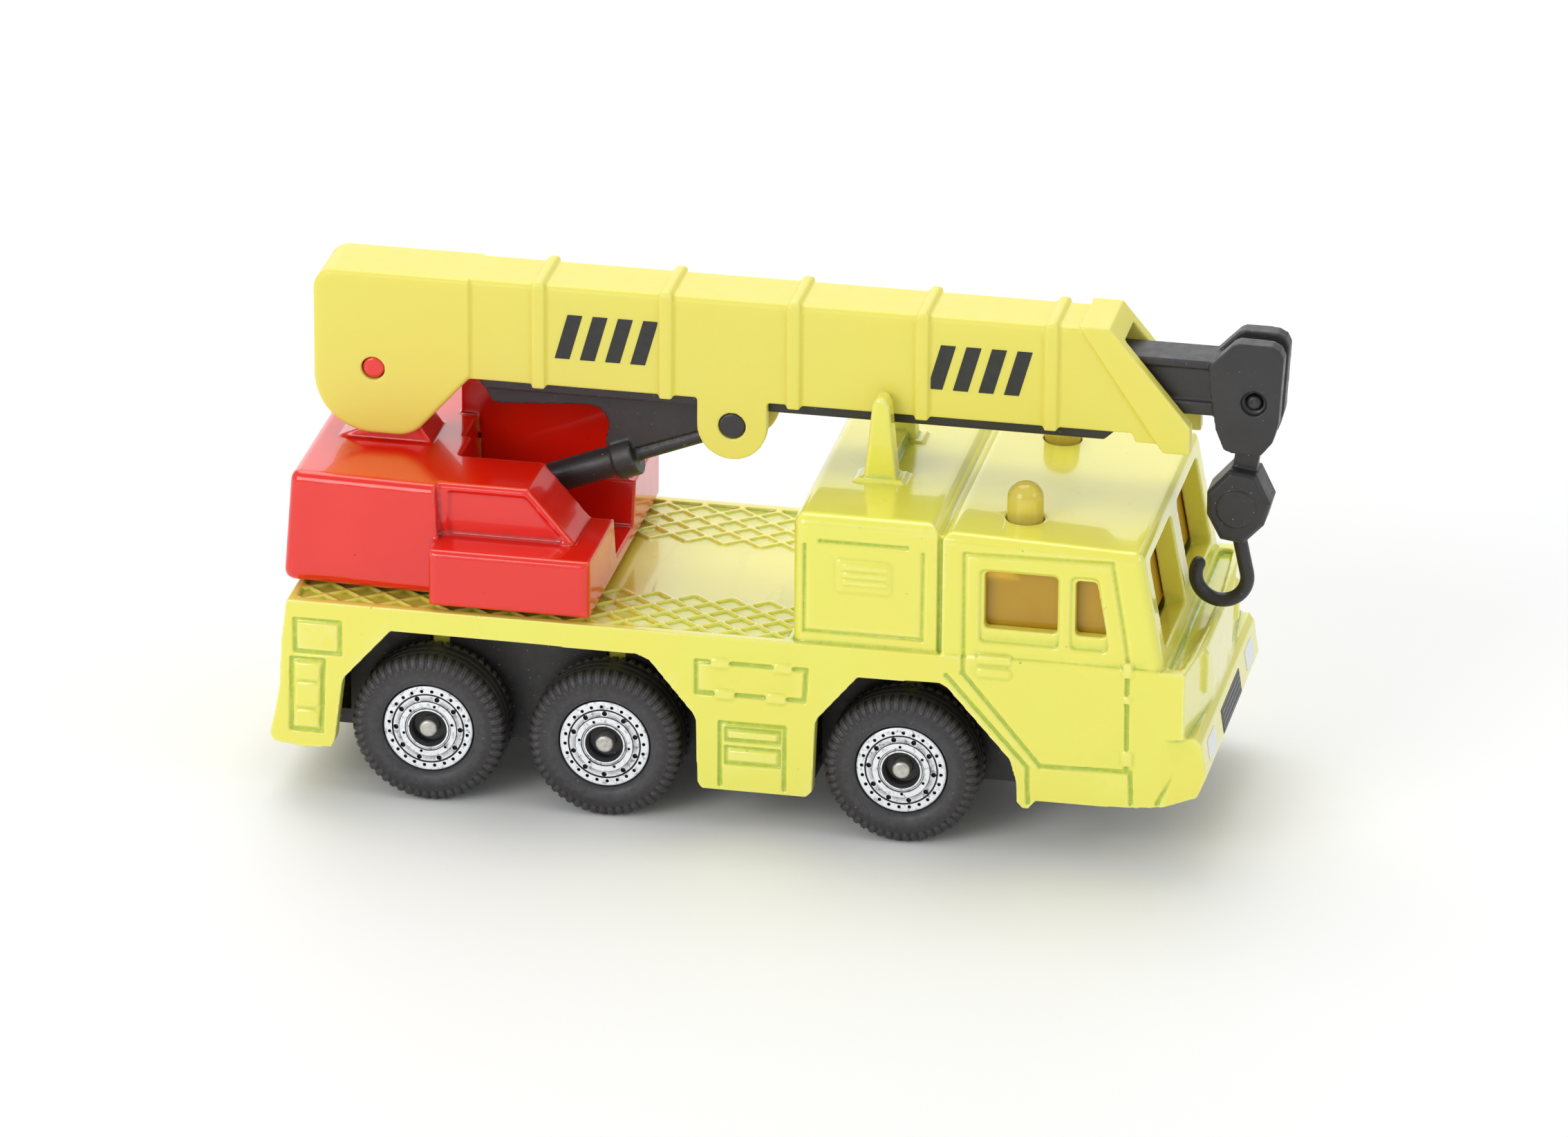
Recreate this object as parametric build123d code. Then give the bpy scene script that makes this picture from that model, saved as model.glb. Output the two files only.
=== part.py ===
from build123d import *
import math
import os

# Pocket-size crane truck. Millimetres, +X to the front, +Z up.
# The origin is on the ground, under the middle of the whole toy.

os.makedirs("parts", exist_ok=True)

# Running gear
tyre_radius = 6.0
tyre_width = 4.2
tyre_outer_face = 12.6
rim_radius = 3.5
rim_outer_face = 12.3
axle_radius = 0.7
axle_half_length = 12.35
axle_xs = {"rear": -25.6, "middle": -11.9, "front": 11.0}

# Body casting
half_width = 13.0
deck_z = 16.0
deck_floor_z = 15.7
deck_underside_z = 14.5
engine_half_width = 12.6
engine_top_z = 26.3
cab_half_width = 12.85
cab_rear_x = 14.05
cavity_half_width = 11.7
groove_width = 0.38
groove_depth = 0.22
beacon_x = 19.45
beacon_y = 8.0
beacon_radius = 1.37
beacon_top_z = 28.6

# Chassis
base_bottom_z = 4.0
base_thickness = 1.2
tub_half_width = 8.0
post_xs = (-18.75, 26.0)
post_radius = 1.8
rivet_radius = 0.9
rivet_head_radius = 1.65
rivet_head = 0.55
rivet_seats = (4.0, 5.2)

# Turret
slew_x = -26.3
turret_bottom_z = 16.4
turret_top_z = 25.2
turret_rear_x = -37.3
turret_front_x = -12.95
turret_draft_deg = 3.5
shoulder_x = -24.9
ledge_z = 21.0
channel_half_width = 3.9
channel_rear_x = -24.9
channel_floor_z = 17.5

# Boom
pivot_x = -31.9
pivot_z = 31.3
boom_half_width = 2.8
boom_inner_half_width = 1.95
boom_top_z = 39.1
boom_bottom_z = 31.0
bulb_half_width = 3.05
bulb_inner_half_width = 2.35
band_xs = [-19.05 + 9.85 * i for i in range(5)]
rear_wall_bottom_z = 29.9
ram_pin_x = -4.1
ram_pin_z = 28.9

# Boom head and hook
head_half_width = 2.1
head_gap_half = 0.7
head_pin_x = 35.6
head_pin_z = 33.9
head_pin_radius = 0.6
hook_lean_deg = 7.5


def prism(points, y0, y1):
    """Solid with an outline in the XZ plane, from y0 to y1."""
    face = Plane.XZ * make_face(Polyline(*points, close=True))
    return Pos(0, y0, 0) * extrude(face, amount=y1 - y0, dir=(0, 1, 0))


def block(x0, x1, y0, y1, z0, z1):
    """Box between two corners."""
    centre = Pos((x0 + x1) / 2, (y0 + y1) / 2, (z0 + z1) / 2)
    return centre * Box(x1 - x0, y1 - y0, z1 - z0)


def rod(x, z, radius, y0, y1):
    """Cylinder along Y."""
    centre = Pos(x, (y0 + y1) / 2, z)
    return centre * Rot(90, 0, 0) * Cylinder(radius, y1 - y0)


def stud(x, y, radius, z0, z1):
    """Cylinder along Z."""
    return Pos(x, y, (z0 + z1) / 2) * Cylinder(radius, z1 - z0)


def both_sides(solid):
    """The solid and its mirror image across the middle plane."""
    return solid + mirror(solid, about=Plane.XZ)


def side_groove(points, face_y, closed=False):
    """Thin sunk line that follows points on the side face at -face_y."""
    ends = list(points) + ([points[0]] if closed else [])
    cut = None
    for (xa, za), (xb, zb) in zip(ends[:-1], ends[1:]):
        length = math.hypot(xb - xa, zb - za) + groove_width
        angle = math.degrees(math.atan2(zb - za, xb - xa))
        bar = Box(length, 2 * groove_depth, groove_width)
        place = Pos((xa + xb) / 2, -face_y, (za + zb) / 2) * Rot(0, -angle, 0)
        cut = place * bar if cut is None else cut + place * bar
    return cut


# ---- body casting

def lower_body():
    """Deck, skirts, wheel arches and front apron as one outline."""
    outline = [
        (-36.4, deck_z), (-36.85, 12.4), (-37.0, 8.9), (-37.4, 6.6), (-37.81, 4.9), (-37.5, 4.2),
        (-35.1, 3.9), (-33.0, 4.1), (-32.7, 4.7), (-32.1, 9.5), (-31.9, 10.0), (-28.3, 14.1),
        (-9.3, 14.0), (-8.3, 13.6), (-4.9, 9.5), (-4.7, 9.0), (-4.55, 3.9), (-4.2, 3.45),
        (3.9, 3.45), (4.3, 3.9), (4.5, 9.5), (4.7, 10.0), (7.7, 13.6), (14.0, 13.75),
        (14.6, 13.4), (19.4, 8.0), (19.9, 6.3), (20.0, 4.6), (20.4, 4.1), (20.9, 4.1),
        (21.4, 4.75), (28.3, 4.85), (31.2, 5.15), (33.6, 5.9), (34.3, 7.6), (33.9, 10.2),
        (33.5, 10.7), (33.3, 15.7), (32.8, 16.1), (2.6, deck_z),
    ]
    return prism(outline, -half_width, half_width)


def engine_box():
    box = block(2.6, 13.65, -engine_half_width, engine_half_width, 14.8, engine_top_z)
    top = box.faces().sort_by(Axis.Z)[-1]
    rear = box.edges().filter_by(Axis.Z).group_by(Axis.X)[0]
    return fillet(top.edges() + rear, 0.9)


def cab_shell():
    outline = [(cab_rear_x, 14.8), (cab_rear_x, 25.9), (29.15, 25.4), (30.95, 16.0), (30.95, 14.8)]
    shell = prism(outline, -cab_half_width, cab_half_width)
    long_edges = shell.edges().filter_by(GeomType.LINE).filter_by(
        lambda e: abs(e.center().Y) > 12 and e.center().Z > 25)
    cross_edges = shell.edges().filter_by(Axis.Y).group_by(Axis.Z)[-1] + \
        shell.edges().filter_by(Axis.Y).group_by(Axis.Z)[-2]
    pillars = shell.edges().filter_by(lambda e: e.center().X > 29.5 and abs(e.center().Y) > 12
                                      and 18 < e.center().Z < 23)
    return fillet(long_edges + cross_edges + pillars, 0.8)


def front_corners():
    """Wedges that slant the nose in plan and bevel the corners of the bumper."""
    nose = make_face(Polyline((32.6, 13.2), (33.45, 4.1), (33.45, 2), (36, 2), (36, 13.2), close=True))
    nose = Pos(0, 0, 10.75) * extrude(nose, amount=6, dir=(0, 0, 1))
    wedge = make_face(Polyline((31.0, 13.4), (31.0, 13.0), (34.5, 12.2), (36, 12.2), (36, 13.4), close=True))
    wedge = Pos(0, 0, 2) * extrude(wedge, amount=8.75, dir=(0, 0, 1))
    return both_sides(nose) + both_sides(wedge)


def body_cavity():
    outline = [
        (-35.5, 0), (-35.3, deck_underside_z), (3.9, deck_underside_z), (3.9, 24.9), (13.4, 24.9),
        (13.4, 24.6), (27.7, 24.1), (29.3, 15.4), (31.2, 14.8), (32.0, 10.5), (32.4, 6.8), (31.0, 0),
    ]
    return prism(outline, -cavity_half_width, cavity_half_width)


def side_windows():
    """Two openings in each side of the cab, each with a shallow stepped frame."""
    big = [(17.25, 18.4), (17.25, 23.0), (22.8, 23.0), (22.8, 18.4)]
    small = [(24.15, 18.4), (24.15, 22.85), (25.75, 22.85), (26.6, 18.4)]
    cut = None
    for outline in (big, small):
        hole = prism(outline, -14, -10)
        hole = fillet(hole.edges().filter_by(Axis.Y), 0.35)
        xs = [p[0] for p in outline]
        frame = [(min(xs) - 0.4, 17.25), (min(xs) - 0.4, 23.25), (max(xs[2], xs[1]) + 0.2, 23.25),
                 (max(xs) + 0.25, 17.25)]
        step = prism(frame, -14, -cab_half_width + 0.22)
        step = fillet(step.edges().filter_by(Axis.Y), 0.5)
        cut = hole + step if cut is None else cut + hole + step
    return both_sides(cut)


def windscreen():
    """Two deep front openings with a post between them."""
    slope = Plane(origin=(30.1, 0, 20.6), x_dir=(0, 1, 0), z_dir=(0.982, 0, 0.188))
    pane = fillet((Pos(5.9, 0) * Rectangle(9.4, 7.1)).vertices(), 0.6)
    hole = extrude(slope * pane, amount=3, both=True)
    return hole + mirror(hole, about=Plane.XZ)


def cowl_recess():
    """Trough with rounded ends between the windscreen and the nose."""
    trough = make_face(Polyline((31.15, -11.9), (32.2, -11.9), (32.7, -4), (32.7, 4), (32.2, 11.9), (31.15, 11.9),
                                close=True))
    trough = Pos(0, 0, 15.6) * extrude(trough, amount=1, dir=(0, 0, 1))
    return fillet(trough.edges().filter_by(Axis.Z).filter_by(lambda e: abs(e.center().Y) > 11), 0.45)


def nose_ribs():
    """Two upright ribs on the face of the nose."""
    rib = block(32.9, 33.5, -7.5, -6.7, 12.4, 15.6)
    return both_sides(fillet(rib.edges().filter_by(lambda e: e.center().X > 33.4), 0.2))


def boom_rest():
    """Fork on the engine box that the lowered boom lies in."""
    prong = prism([(6.4, 25.8), (7.05, 32.3), (7.4, 33.0), (8.05, 33.0), (8.4, 32.3), (9.05, 25.8)],
                  -4.95, -3.15)
    prong = fillet(prong.edges().filter_by(lambda e: e.center().Z > 27), 0.28)
    foot = block(5.9, 9.6, -5.3, -2.9, 26.0, 26.6)
    foot = fillet(foot.faces().sort_by(Axis.Z)[-1].edges(), 0.25)
    ridge = block(7.2, 8.3, -4.6, 4.6, 26.0, 27.3)
    return both_sides(prong + foot) + ridge


def deck_tray():
    """Shallow tray in the deck that holds the tread plate pattern."""
    tray = block(-35.8, 2.2, -12.3, 12.3, deck_floor_z, deck_z + 1)
    return fillet(tray.edges().filter_by(Axis.Z), 0.5)


def side_lines():
    """Door, hatch, locker, step and lamp outlines on one side."""
    cab = cab_half_width
    low = half_width
    hatch = engine_half_width
    lines = [
        side_groove([(15.75, 24.35), (26.95, 24.55), (27.95, 18.8), (28.25, 16.7)], cab),
        side_groove([(15.75, 24.35), (15.75, 16.0)], cab),
        side_groove([(28.25, 15.5), (28.3, 7.8), (21.7, 7.65), (15.75, 14.7), (15.75, 15.8)], low),
        side_groove([(14.5, 14.4), (20.75, 7.45), (20.85, 4.6)], low),
        side_groove([(28.6, 7.8), (28.7, 5.2)], low),
        side_groove([(30.7, 5.4), (33.0, 10.0), (33.5, 10.5)], low),
        side_groove([(3.5, 23.9), (3.5, 16.95), (12.5, 16.95), (12.55, 23.9)], hatch),
        side_groove([(4.7, 24.3), (11.3, 24.3)], hatch),
        side_groove([(-4.65, 13.85), (3.8, 13.85), (3.65, 11.3), (-4.65, 11.3)], low, True),
        side_groove([(-2.8, 3.9), (-2.8, 8.95), (2.15, 8.95), (2.15, 3.9)], low),
        side_groove([(-2.35, 8.5), (1.75, 8.5), (1.75, 7.6), (-2.35, 7.6)], low, True),
        side_groove([(-2.35, 6.95), (1.75, 6.95), (1.75, 5.7), (-2.35, 5.7)], low, True),
        side_groove([(-35.75, 14.4), (-32.25, 14.4), (-32.25, 11.85), (-35.75, 11.85)], low, True),
        side_groove([(-36.0, 11.2), (-33.55, 11.2), (-33.75, 5.35), (-36.1, 5.4)], low, True),
    ]
    cut = lines[0]
    for line in lines[1:]:
        cut = cut + line
    return both_sides(cut)


def raised_blocks(face_y, height, corners):
    """Low blocks with a soft outline that stand out of the side face at -face_y."""
    blocks = None
    for x0, x1, z0, z1 in corners:
        piece = block(x0, x1, -face_y - height, -face_y + 0.4, z0, z1)
        piece = fillet(piece.edges().filter_by(Axis.Y), min(0.2, 0.4 * (z1 - z0), 0.4 * (x1 - x0)))
        blocks = piece if blocks is None else blocks + piece
    return blocks


def side_details():
    """Hinges, clamps, slats and lamps that are cast on the sides."""
    low = [
        (27.95, 28.6, 15.5, 16.7), (28.0, 28.65, 8.3, 9.5), (28.1, 28.5, 13.4, 14.0),
        (-3.5, -2.1, 13.5, 14.1), (1.3, 2.7, 13.5, 14.1), (-3.2, -1.7, 11.0, 11.6), (0.75, 2.25, 11.0, 11.6),
        (-35.6, -33.9, 9.6, 10.85), (-35.65, -33.95, 7.4, 9.2), (-35.7, -34.05, 5.75, 6.95),
        (16.85, 19.35, 15.75, 16.35), (16.85, 19.35, 14.65, 15.2),
    ]
    plate = [(6.0, 10.05, 20.45, 22.9)]
    slats = [(6.5, 9.85, 21.05 + 0.62 * i, 21.33 + 0.62 * i) for i in range(3)]
    shapes = raised_blocks(half_width, 0.12, low) + raised_blocks(engine_half_width, 0.12, plate)
    return both_sides(shapes + raised_blocks(engine_half_width + 0.1, 0.14, slats))


def body_casting():
    neck = block(13.0, 14.6, -12.2, 12.2, 14.8, 25.4)
    body = lower_body() + engine_box() + cab_shell() + neck
    body = body - front_corners() - body_cavity()
    body = body - side_windows() - windscreen() - cowl_recess() - deck_tray() - side_lines()
    body = body + boom_rest() + side_details() + nose_ribs()
    body = body + stud(slew_x, 0, 3.2, deck_floor_z - 0.3, turret_bottom_z - 0.1)
    body = body - stud(slew_x, 0, 1.3, 12, 18)
    for side in (-1, 1):
        body = body - stud(beacon_x, side * beacon_y, beacon_radius + 0.12, 23.5, 27)
    tops = {post_xs[0]: deck_underside_z + 0.2, post_xs[1]: 24.6}
    feet = {post_xs[0]: base_bottom_z + base_thickness, post_xs[1]: 6.4}
    for x in post_xs:
        body = body + stud(x, 0, post_radius, feet[x], tops[x])
        body = body - stud(x, 0, rivet_radius + 0.02, 0, feet[x] + 4.05)
    for x in axle_xs.values():
        roof = 24.95 if x > 0 else deck_underside_z
        tab = block(x - 0.7, x + 0.7, -tub_half_width + 0.45, -6.95, 6.0 + axle_radius + 0.1, roof + 0.1)
        body = body + both_sides(tab)
    return body


# ---- chassis

def base_plate():
    low = base_bottom_z
    floor = block(-35.0, 20.1, -tub_half_width, tub_half_width, low, low + base_thickness)
    floor = floor + block(-4.3, 4.1, -11.6, 11.6, low, low + base_thickness)
    floor = floor + block(19.0, 20.2, -tub_half_width, tub_half_width, low, 6.4)
    floor = floor + block(20.1, 31.0, -11.5, 11.5, 5.2, 6.4)
    walls = None
    for x0, x1 in ((-32.6, -4.3), (4.1, 20.2)):
        wall = block(x0, x1, -tub_half_width, -tub_half_width + 1.0, low, 13.8)
        walls = wall if walls is None else walls + wall
    plate = floor + both_sides(walls)
    for x in axle_xs.values():
        slot = rod(x, 6.0, axle_radius + 0.08, -9, 9) + block(x - 0.78, x + 0.78, -9, 9, 6.0, 14)
        plate = plate - slot
    for x, seat in zip(post_xs, rivet_seats):
        plate = plate - stud(x, 0, rivet_radius + 0.06, 0, 8)
        plate = plate - stud(x, 0, rivet_head_radius + 0.15, seat - 1, seat + rivet_head + 0.05)
    return plate


def base_rivets():
    """Two rivets, sunk in the base plate, that hold it to the posts of the casting."""
    rivets = None
    for x, seat in zip(post_xs, rivet_seats):
        head = stud(x, 0, rivet_head_radius, seat + 0.03, seat + rivet_head + 0.03)
        head = fillet(head.edges().group_by(Axis.Z)[0], 0.3)
        rivet = head + stud(x, 0, rivet_radius, seat + 0.3, seat + 5.0)
        rivets = rivet if rivets is None else rivets + rivet
    return rivets


# ---- glazing

def glazing_insert():
    """Clear moulding under the roof: side panes, front panes and two beacons."""
    roof = block(16.4, 27.4, -11.6, 11.6, 23.2, 23.95)
    side = block(16.4, 27.9, -11.6, -10.8, 17.6, 23.5)
    slope = Plane(origin=(27.85, 0, 20.6), x_dir=(0, 1, 0), z_dir=(0.982, 0, 0.188))
    front = extrude(slope * (Pos(0, -0.2) * Rectangle(23.2, 6.6)), amount=0.35, both=True)
    insert = roof + both_sides(side) + front
    for y in (-beacon_y, beacon_y):
        lens = stud(beacon_x, y, beacon_radius, 23.5, beacon_top_z)
        lens = fillet(lens.edges().group_by(Axis.Z)[-1], beacon_radius - 0.12)
        insert = insert + lens
    return insert - stud(post_xs[1], 0, post_radius + 0.08, 16.5, 26)


# ---- wheels

def axle(x):
    pin = rod(x, tyre_radius, axle_radius, -axle_half_length, axle_half_length)
    return fillet(pin.edges().filter_by(GeomType.CIRCLE), 0.25)


def rim(x, side):
    """Wheel hub with a stepped face and a deep middle, pressed on the axle."""
    outer = rim_outer_face
    hub = rod(x, tyre_radius, rim_radius, -outer + 0.15, -8.55)
    hub = hub + rod(x, tyre_radius, 2.55, -outer, -outer + 1)
    hub = hub - rod(x, tyre_radius, 1.3, -outer - 1, -outer + 1.1)
    hub = hub - rod(x, tyre_radius, axle_radius + 0.02, -14, 0)
    return hub if side < 0 else mirror(hub, about=Plane.XZ)


def tyre(x, side):
    """Rubber ring with rounded shoulders."""
    outer = tyre_outer_face
    ring = rod(x, tyre_radius, tyre_radius, -outer, -outer + tyre_width)
    ring = fillet(ring.edges().filter_by(GeomType.CIRCLE), 0.75)
    ring = ring - rod(x, tyre_radius, rim_radius + 0.02, -14, 0)
    return ring if side < 0 else mirror(ring, about=Plane.XZ)


# ---- turret

def turret_house():
    low = turret_bottom_z
    plan = Polyline((turret_rear_x, -10.5), (shoulder_x, -11.0), (shoulder_x, 11.0), (turret_rear_x, 10.5),
                    close=True)
    rear = Pos(0, 0, low) * extrude(make_face(plan), amount=turret_top_z - low, taper=turret_draft_deg)
    rear = fillet(rear.edges().filter_by(lambda e: e.center().X < -30), 0.8)
    lower = block(shoulder_x - 0.5, turret_front_x, -half_width, half_width, low, ledge_z)
    lower = fillet(lower.edges().filter_by(lambda e: abs(e.center().Y) > 12), 0.6)
    near = prism([(-27, 20), (-27, turret_top_z), (-18.4, turret_top_z), (-14.4, 20.6), (-14.4, 20)],
                 -9.8, 0)
    near = fillet(near.edges().filter_by(lambda e: e.center().Y < -9 and e.center().Z > 21), 0.5)
    return rear + lower + near


def crane_cab():
    """Tall operator's cab beside the boom, with sunk window panels."""
    inner = channel_half_width + 0.35
    outline = [(-26.7, 20), (-26.7, 35.4), (-16.2, 35.4), (-13.4, ledge_z), (-13.4, 20)]
    cab = prism(outline, inner, 11.0)
    cab = fillet(cab.edges().filter_by(lambda e: e.center().Y > 10.5 and e.center().Z > 22), 0.6)
    side = prism([(-25.6, 25.5), (-25.6, 34.2), (-17.2, 34.2), (-15.4, 25.5)], 10.8, 12)
    side = fillet(side.edges().filter_by(Axis.Y), 0.6)
    post = block(-21.6, -21.0, 10, 12, 25, 35)
    slope = Plane(origin=(-15.05, (inner + 11) / 2, 29.0), x_dir=(0, 1, 0), z_dir=(0.982, 0, 0.191))
    front = extrude(slope * Rectangle(5.0, 8.6), amount=0.2, both=True)
    return cab - (side - post) - front


def boom_post():
    """Upright that goes up inside the boom, with a boss on each side to pivot on."""
    outline = [
        (-2.3, 0), (-0.9, -4.2), (-0.9, -5.2), (-2.8, -6.0), (-2.8, -6.4),
        (4.6, -6.4), (3.6, -5.0), (2.3, 0),
    ]
    post = prism([(pivot_x + x, pivot_z + z) for x, z in outline], -2.15, 2.15)
    post = post + rod(pivot_x, pivot_z, 2.3, -2.15, 2.15)
    return post + rod(pivot_x, pivot_z, 0.85, -2.85, 2.85)


def turret_hollows():
    """Pockets open to the underside, so the casting has even walls."""
    low = turret_bottom_z
    rear = block(-35.8, -29.2, -9.2, 9.2, low - 1, 23.8)
    side = block(-28.0, shoulder_x - 0.3, 4.2, 9.7, low - 1, 23.8)
    lower = block(shoulder_x + 0.4, -14.3, 5.2, 11.7, low - 1, ledge_z - 1.3)
    near = block(shoulder_x + 0.4, -18.4, 5.2, 8.5, low - 1, turret_top_z - 1.3)
    cab = block(-25.4, -17.6, 5.5, 9.7, low - 1, 34.0)
    return rear + both_sides(side + lower) + mirror(near, about=Plane.XZ) + cab


def turret_casting():
    house = turret_house() + crane_cab()
    floor = channel_floor_z
    channel = block(channel_rear_x, -10, -channel_half_width, channel_half_width, ledge_z, 40)
    lower = prism([(channel_rear_x, floor), (channel_rear_x, 22), (-10, 22), (-10, floor)], -2.9, 2.9)
    flare = Plane.YZ * make_face(Polyline((-3.0, floor), (-channel_half_width, ledge_z + 0.1),
                                          (channel_half_width, ledge_z + 0.1), (3.0, floor), close=True))
    flare = Pos(channel_rear_x, 0, 0) * extrude(flare, amount=15, dir=(1, 0, 0))
    house = house - channel - lower - flare
    panel = prism([(-24.6, 21.1), (-24.6, 24.7), (-18.5, 24.7), (-15.3, 21.1)], -12, -9.62)
    panel = fillet(panel.edges().filter_by(Axis.Y), 0.3)
    house = house - panel
    house = house + boom_post() - turret_hollows()
    return house - stud(slew_x, 0, 1.2, 16, 21)


def turret_rivet():
    """Rivet that the turret turns on; its head is under the deck."""
    head = stud(slew_x, 0, 2.4, 13.5, 14.35)
    head = fillet(head.edges().group_by(Axis.Z)[0], 0.4)
    return head + stud(slew_x, 0, 1.18, 14.2, 20.9)


# ---- boom

def boom_nose():
    """Slanted collar at the front end."""
    band = prism([(22.4, 39.4), (24.75, 39.4), (31.0, 31.9), (31.0, 29.7), (28.95, 29.7)], -3.1, 3.1)
    lip = prism([(26.5, 31.2), (26.8, 30.3), (28.6, 30.3), (28.6, 31.2)], -boom_half_width, boom_half_width)
    return band + lip


def boom_bulb(y):
    """Rounded rear end around the pivot."""
    points = [(-24.45, boom_bottom_z), (-24.45, boom_top_z), (-36.55, boom_top_z), (-36.55, 25.95), (-28.9, 25.95)]
    bulb = prism(points, -y, y)
    corners = bulb.edges().filter_by(Axis.Y)
    bulb = fillet(corners.filter_by(lambda e: e.center().X < -30 and e.center().Z > 35), 1.65)
    corners = bulb.edges().filter_by(Axis.Y)
    bulb = fillet(corners.filter_by(lambda e: e.center().X < -36 and e.center().Z < 26), 4.6)
    corners = bulb.edges().filter_by(Axis.Y)
    bulb = fillet(corners.filter_by(lambda e: -30 < e.center().X < -28 and e.center().Z < 26), 2.6)
    return fillet(bulb.edges().filter_by(lambda e: abs(e.center().Y) > 2 and e.center().X < -24.6), 0.4)


def main_boom():
    top = boom_top_z
    low = boom_bottom_z
    bulb = boom_bulb(bulb_half_width)
    beam = prism([(-25.0, low), (-25.0, top), (24.6, top), (30.7, 31.6), (30.7, low)],
                 -boom_half_width, boom_half_width)
    beam = fillet(beam.edges().filter_by(lambda e: abs(e.center().Y) > 2 and e.center().Z > 39), 0.5)
    boom = bulb + beam + boom_nose()
    for x in band_xs:
        band = block(x - 0.48, x + 0.48, -3.1, 3.1, low - 0.25, top + 0.3)
        boom = boom + fillet(band.edges().filter_by(lambda e: e.center().Z > top), 0.4)
    lug = rod(ram_pin_x, ram_pin_z, 2.7, -boom_half_width, boom_half_width)
    lug = lug + block(ram_pin_x - 2.7, ram_pin_x + 2.7, -boom_half_width, boom_half_width, ram_pin_z, low + 1)
    boom = boom + lug
    inside = block(-27.0, 33, -boom_inner_half_width, boom_inner_half_width, 20, 38.1)
    inside = inside + block(-35.75, -24.9, -bulb_inner_half_width, bulb_inner_half_width, 20, 38.1)
    inside = inside + block(-38, -24.9, -bulb_inner_half_width, bulb_inner_half_width, 20, rear_wall_bottom_z)
    boom = boom - inside
    boom = boom - rod(pivot_x, pivot_z, 0.93, -5, 5)
    return boom - rod(ram_pin_x, ram_pin_z, 1.06, -5, 5)


def boom_underside():
    """Strip that closes the boom from below, with the dummy ram and its web."""
    wide = boom_inner_half_width - 0.05
    strip = prism([(-24.3, 31.0), (-23.4, 29.95), (24.3, 29.95), (25.3, 30.9), (25.3, 32.1), (-24.3, 32.1)],
                  -wide, wide)
    web = prism([(-24.0, 30.2), (-23.2, 28.4), (-22.4, 28.3), (-15.7, 28.8), (-15.0, 28.65), (-14.45, 28.25),
                 (-14.15, 27.7), (-14.1, 27.1), (-14.4, 25.7), (-12.7, 25.3), (-5.0, 28.2), (-4.0, 30.2)],
                -0.6, 0.6)
    slope = math.radians(21.3)
    run = (math.cos(slope), math.sin(slope))
    start = (ram_pin_x - 0.1, ram_pin_z - 1.0)

    def tube(radius, near, far):
        mid = (near + far) / 2
        place = Pos(start[0] - run[0] * mid, 0, start[1] - run[1] * mid) * Rot(0, 90 - 21.3, 0)
        return place * Cylinder(radius, far - near)

    ram = tube(0.57, 0, 9.2) + tube(1.6, 8.35, 10.0) + tube(1.22, 9.9, 20.5)
    pin = rod(ram_pin_x, ram_pin_z, 1.0, -2.75, 2.75)
    boss = block(ram_pin_x - 1.4, ram_pin_x + 1.4, -0.9, 0.9, 27.6, 30.2)
    return strip + web + ram + pin + boss


def inner_boom():
    """Sliding section with the two head plates."""
    half = 1.75
    beam = block(-17.0, 33.4, -half, half, 32.5, 36.85)
    recess = block(-15.0, 33.4, -3, -half + 0.3, 33.55, 36.2)
    shoe = block(-17.0, -14.5, -half, half, 36.7, 37.85)
    beam = beam - both_sides(recess) + shoe
    outline = [
        (32.15, 36.6), (33.95, 38.45), (34.4, 38.65), (36.85, 38.6), (37.5, 38.25), (37.81, 37.6),
        (37.5, 32.3), (37.1, 30.85), (36.25, 29.75), (34.1, 29.75), (33.4, 30.0), (32.75, 31.6), (32.25, 35.1),
    ]
    plate = prism(outline, -head_half_width, -head_gap_half)
    head = both_sides(plate)
    slot = block(33.0, 40, -head_gap_half, head_gap_half, 20, 40)
    low_slot = block(31.3, 40, -head_gap_half, head_gap_half, 20, 34.7)
    boom = (beam - slot - low_slot) + head
    hole = rod(head_pin_x, head_pin_z, head_pin_radius + 0.06, -5, 5)
    sink = rod(head_pin_x, head_pin_z, 0.98, -5, -head_half_width + 0.4)
    return boom - hole - both_sides(sink)


def hook_pin():
    pin = rod(head_pin_x, head_pin_z, head_pin_radius, -2.0, 2.0)
    return fillet(pin.edges().filter_by(GeomType.CIRCLE), 0.35)


def hook_block():
    """Neck, six-sided block and hook, drawn plumb and then leant towards the rear."""
    eye = rod(0, 0, 1.25, -0.55, 0.55)
    neck = block(-0.92, 0.92, -0.55, 0.55, -7.4, 0)
    outline = [(-1.05, -6.0), (-2.45, -8.1), (-2.2, -9.9), (-0.9, -11.7), (0.9, -11.7), (2.2, -9.9),
               (2.45, -8.1), (1.05, -6.0)]
    cheek = prism(outline, -1.6, 1.6)
    cheek = chamfer(cheek.faces().filter_by(Axis.Y).edges(), 0.3)
    boss = rod(0, -8.9, 1.5, -1.75, 1.75)
    radius = 1.97
    centre = (-0.45, -15.2)
    bend = math.radians(19.9)
    touch = (centre[0] + radius * math.cos(bend), centre[1] + radius * math.sin(bend))
    low = (centre[0], centre[1] - radius)
    tip_angle = math.radians(162)
    tip = (centre[0] + radius * math.cos(tip_angle), centre[1] + radius * math.sin(tip_angle))
    with BuildLine(Plane.XZ) as path:
        Line((0.2, -11.2), touch)
        ThreePointArc(touch, low, tip)
    start = Plane(origin=path.line @ 0, z_dir=path.line % 0)
    wire = sweep(start * Circle(0.55), path=path.line)
    ball = Pos(tip[0], 0, tip[1]) * Sphere(0.55)
    hook = eye + neck + cheek + boss + wire + ball
    hook = hook - rod(0, 0, head_pin_radius + 0.05, -2, 2)
    return Pos(head_pin_x, 0, head_pin_z) * Rot(0, hook_lean_deg, 0) * hook


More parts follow.
